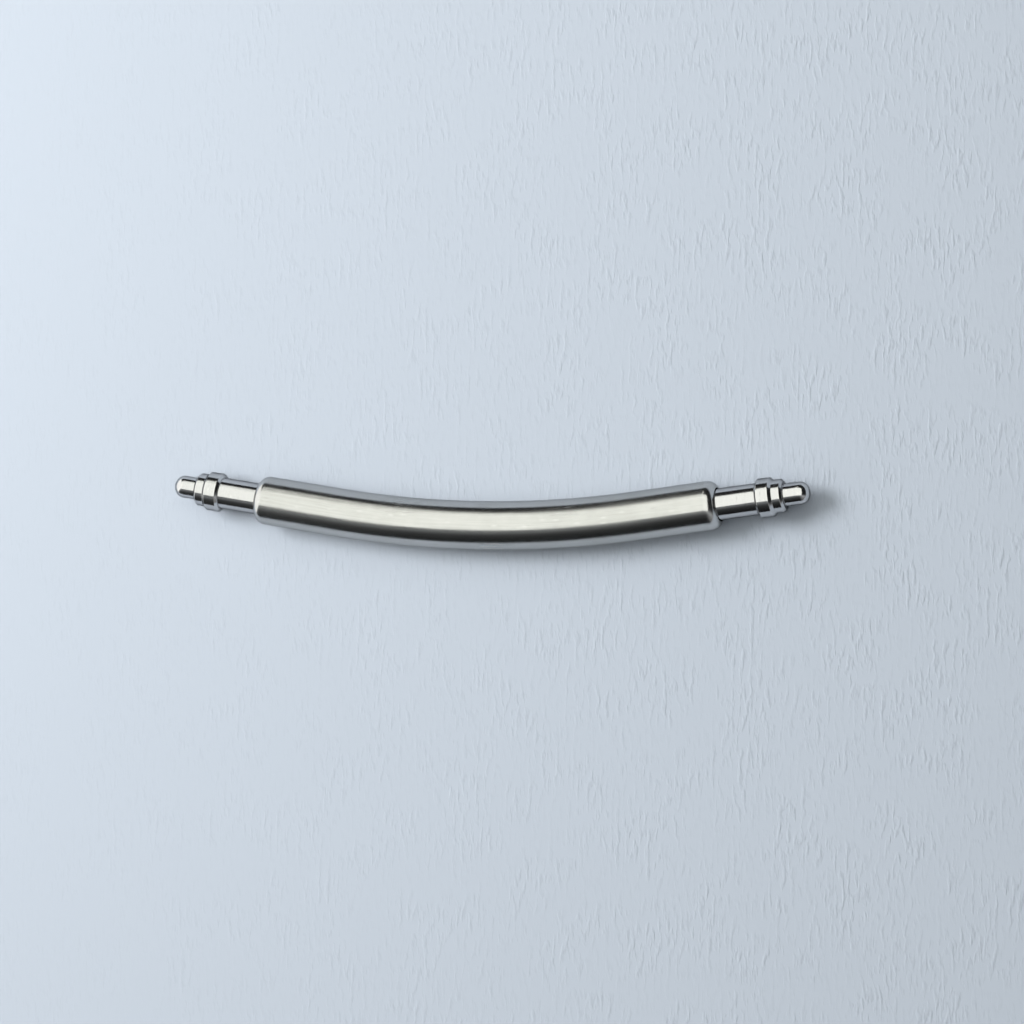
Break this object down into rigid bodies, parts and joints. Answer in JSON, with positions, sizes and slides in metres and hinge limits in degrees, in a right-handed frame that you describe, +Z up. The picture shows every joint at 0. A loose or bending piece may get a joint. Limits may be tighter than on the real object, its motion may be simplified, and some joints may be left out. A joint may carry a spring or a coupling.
{
  "type": "spring bar",
  "caption": "Curved spring bar for a watch strap: a bent steel barrel with curled mouths, a coil spring inside, and a sprung flanged pin sliding in each end.",
  "frame": {"origin": "middle of the bar's outline seen from above, on the surface that it lies on", "axes": "+X from the left pin to the right pin, +Y the side that both ends lean towards, +Z up from the surface"},
  "size_m": [0.0246, 0.0028, 0.0018],
  "materials": {
    "barrel_steel": "drawn and tumbled bright stainless steel, with fine scratches along the tube",
    "pin_steel": "turned and polished stainless steel",
    "spring_steel": "drawn bright spring wire"
  },
  "bodies": {
    "barrel": {"barrel": "barrel_steel", "spring": "spring_steel"},
    "left_pin": {"left_pin": "pin_steel"},
    "right_pin": {"right_pin": "pin_steel"}
  },
  "joints": [
    {"name": "left_pin_slide", "type": "slide", "parent": "barrel", "child": "left_pin", "axis": [0.9895, -0.1448, 0], "range_m": [0, 0.0014], "stiffness_N_per_m": 385, "deforming": ["spring"]},
    {"name": "right_pin_slide", "type": "slide", "parent": "barrel", "child": "right_pin", "axis": [-0.9895, -0.1448, 0], "range_m": [0, 0.0014], "stiffness_N_per_m": 385, "deforming": ["spring"]}
  ]
}
